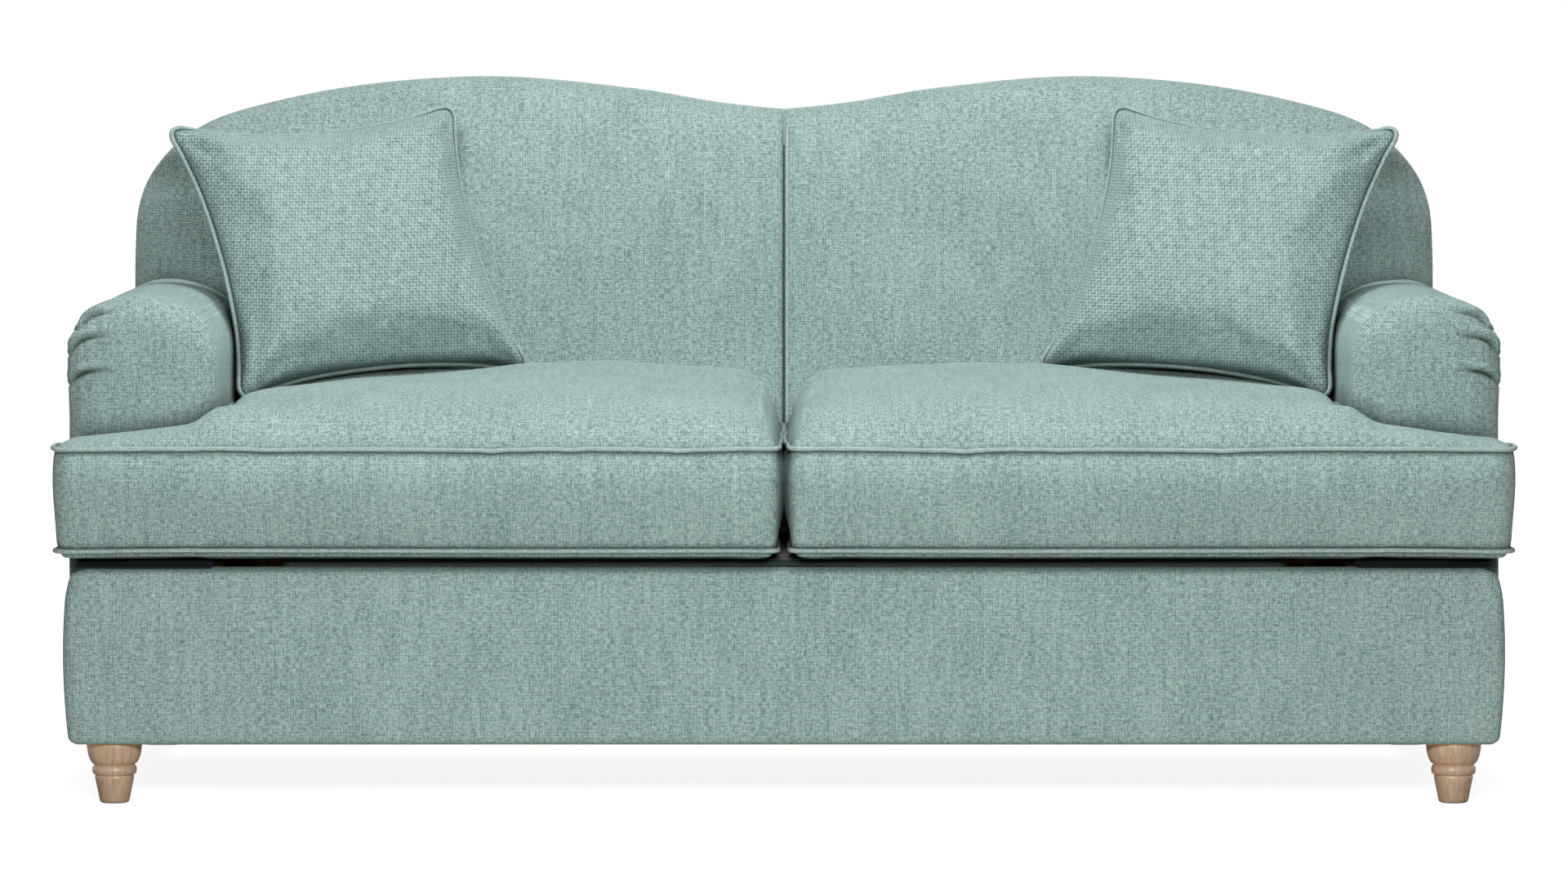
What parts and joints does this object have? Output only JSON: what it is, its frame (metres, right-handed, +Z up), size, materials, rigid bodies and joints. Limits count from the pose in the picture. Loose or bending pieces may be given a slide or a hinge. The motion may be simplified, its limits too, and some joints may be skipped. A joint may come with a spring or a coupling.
{
  "type": "sofa bed",
  "caption": "Tight-back sofa with a double-hump back, rolled arms and T cushions that ride a three-fold pull-out bed on swinging links.",
  "frame": {"origin": "on the floor, under the middle of the sofa's bounding box", "axes": "X along the width, with the sofa seen from the front having +X on its right; -Y towards the front, +Y towards the back, +Z up"},
  "size_m": [2, 0.94, 0.9891],
  "materials": {
    "woven_fabric": "fine woven upholstery cloth, pale duck-egg blue, matt",
    "scatter_fabric": "the same colour in a coarser basket weave, matt",
    "rear_fabric": "woven upholstery cloth, stretched flat",
    "turned_wood": "turned beech under a satin lacquer",
    "plywood": "raw birch plywood",
    "frame_wood": "sawn and planed softwood",
    "slat_wood": "bent laminated birch slats",
    "webbing": "black woven webbing",
    "mattress_cloth": "off-white knitted mattress ticking",
    "painted_steel": "grey powder coat",
    "zinc_steel": "bright zinc plate",
    "black_plastic": "moulded polypropylene"
  },
  "bodies": {
    "sofa_frame": {"arm_frame_left": "plywood", "arm_frame_right": "plywood", "arm_left": "woven_fabric", "arm_right": "woven_fabric", "back_cover": "rear_fabric", "back_pad_left": "woven_fabric", "back_pad_right": "woven_fabric", "back_posts": "plywood", "back_rails": "plywood", "back_webbing": "webbing", "base_cover": "woven_fabric", "bed_bearer_left": "frame_wood", "bed_bearer_right": "frame_wood", "bracket_left": "painted_steel", "bracket_right": "painted_steel", "bracket_pins": "zinc_steel", "bracket_screws": "zinc_steel", "corner_blocks": "frame_wood", "foot_bolts": "zinc_steel", "front_feet": "turned_wood", "rear_feet": "turned_wood", "front_rail": "frame_wood", "rear_rail": "frame_wood", "side_panel_left": "plywood", "side_panel_right": "plywood"},
    "front_link_left": {"front_link_left": "painted_steel"},
    "rear_link_left": {"rear_link_left": "painted_steel"},
    "front_link_right": {"front_link_right": "painted_steel"},
    "rear_link_right": {"rear_link_right": "painted_steel"},
    "head_section": {"head_frame": "painted_steel", "head_slats": "slat_wood", "head_slat_caps": "black_plastic", "head_mattress": "mattress_cloth", "head_pins": "zinc_steel"},
    "middle_section": {"middle_frame": "painted_steel", "middle_slats": "slat_wood", "middle_slat_caps": "black_plastic", "middle_mattress": "mattress_cloth", "middle_pins": "zinc_steel"},
    "foot_section": {"foot_frame": "painted_steel", "foot_slats": "slat_wood", "foot_slat_caps": "black_plastic", "foot_mattress": "mattress_cloth", "foot_pins": "zinc_steel", "pull_strap": "webbing"},
    "middle_leg_left": {"middle_leg_left": "painted_steel", "middle_leg_glide_left": "black_plastic"},
    "end_leg_left": {"end_leg_left": "painted_steel", "end_leg_glide_left": "black_plastic"},
    "seat_cushion_left": {"seat_cushion_left": "woven_fabric"},
    "scatter_cushion_left": {"scatter_cushion_left": "scatter_fabric"},
    "middle_leg_right": {"middle_leg_right": "painted_steel", "middle_leg_glide_right": "black_plastic"},
    "end_leg_right": {"end_leg_right": "painted_steel", "end_leg_glide_right": "black_plastic"},
    "seat_cushion_right": {"seat_cushion_right": "woven_fabric"},
    "scatter_cushion_right": {"scatter_cushion_right": "scatter_fabric"}
  },
  "joints": [
    {"name": "bed_unfold", "type": "hinge", "parent": "sofa_frame", "child": "front_link_left", "pos_m": [-0.7647, -0.36604, 0.22487], "axis": [1, 0, 0], "range_deg": [0, 165]},
    {"name": "front_link_right_swing", "type": "hinge", "parent": "sofa_frame", "child": "front_link_right", "pos_m": [0.7647, -0.36604, 0.22487], "axis": [1, 0, 0], "range_deg": [0, 165]},
    {"name": "rear_link_left_swing", "type": "hinge", "parent": "sofa_frame", "child": "rear_link_left", "pos_m": [-0.7647, 0.10396, 0.22487], "axis": [1, 0, 0], "range_deg": [0, 165]},
    {"name": "rear_link_right_swing", "type": "hinge", "parent": "sofa_frame", "child": "rear_link_right", "pos_m": [0.7647, 0.10396, 0.22487], "axis": [1, 0, 0], "range_deg": [0, 165]},
    {"name": "head_section_level", "type": "hinge", "parent": "front_link_left", "child": "head_section", "pos_m": [0, -0.28, 0.102], "axis": [1, 0, 0], "range_deg": [-172, 0]},
    {"name": "middle_section_fold", "type": "hinge", "parent": "head_section", "child": "middle_section", "pos_m": [0, -0.41, 0.173], "axis": [1, 0, 0], "range_deg": [0, 180]},
    {"name": "foot_section_level", "type": "hinge", "parent": "middle_section", "child": "foot_section", "pos_m": [0, 0.135, 0.2555], "axis": [1, 0, 0], "range_deg": [-180, 0]},
    {"name": "middle_leg_left_swing", "type": "hinge", "parent": "middle_section", "child": "middle_leg_left", "pos_m": [-0.7494, 0.06, 0.244], "axis": [1, 0, 0], "range_deg": [-90, 0]},
    {"name": "middle_leg_right_swing", "type": "hinge", "parent": "middle_section", "child": "middle_leg_right", "pos_m": [0.7494, 0.06, 0.244], "axis": [1, 0, 0], "range_deg": [-90, 0]},
    {"name": "end_leg_left_swing", "type": "hinge", "parent": "foot_section", "child": "end_leg_left", "pos_m": [-0.7339, -0.335, 0.267], "axis": [1, 0, 0], "range_deg": [-90, 0]},
    {"name": "end_leg_right_swing", "type": "hinge", "parent": "foot_section", "child": "end_leg_right", "pos_m": [0.7339, -0.335, 0.267], "axis": [1, 0, 0], "range_deg": [-90, 0]},
    {"name": "seat_cushion_left_lift", "type": "slide", "parent": "foot_section", "child": "seat_cushion_left", "axis": [0, 0, 1], "range_m": [0, 0.4]},
    {"name": "seat_cushion_right_lift", "type": "slide", "parent": "foot_section", "child": "seat_cushion_right", "axis": [0, 0, 1], "range_m": [0, 0.4]},
    {"name": "scatter_cushion_left_lift", "type": "slide", "parent": "seat_cushion_left", "child": "scatter_cushion_left", "axis": [0, 0, 1], "range_m": [0, 0.5]},
    {"name": "scatter_cushion_right_lift", "type": "slide", "parent": "seat_cushion_right", "child": "scatter_cushion_right", "axis": [0, 0, 1], "range_m": [0, 0.5]}
  ],
  "couplings": [
    {"joint": "front_link_right_swing", "follows": "bed_unfold", "ratio": 1},
    {"joint": "rear_link_left_swing", "follows": "bed_unfold", "ratio": 1},
    {"joint": "rear_link_right_swing", "follows": "bed_unfold", "ratio": 1},
    {"joint": "head_section_level", "follows": "bed_unfold", "ratio": -1},
    {"joint": "middle_section_fold", "follows": "bed_unfold", "ratio": 1.0909},
    {"joint": "foot_section_level", "follows": "bed_unfold", "ratio": -1.0909},
    {"joint": "middle_leg_left_swing", "follows": "bed_unfold", "ratio": -0.54545},
    {"joint": "middle_leg_right_swing", "follows": "bed_unfold", "ratio": -0.54545},
    {"joint": "end_leg_left_swing", "follows": "bed_unfold", "ratio": -0.54545},
    {"joint": "end_leg_right_swing", "follows": "bed_unfold", "ratio": -0.54545}
  ]
}
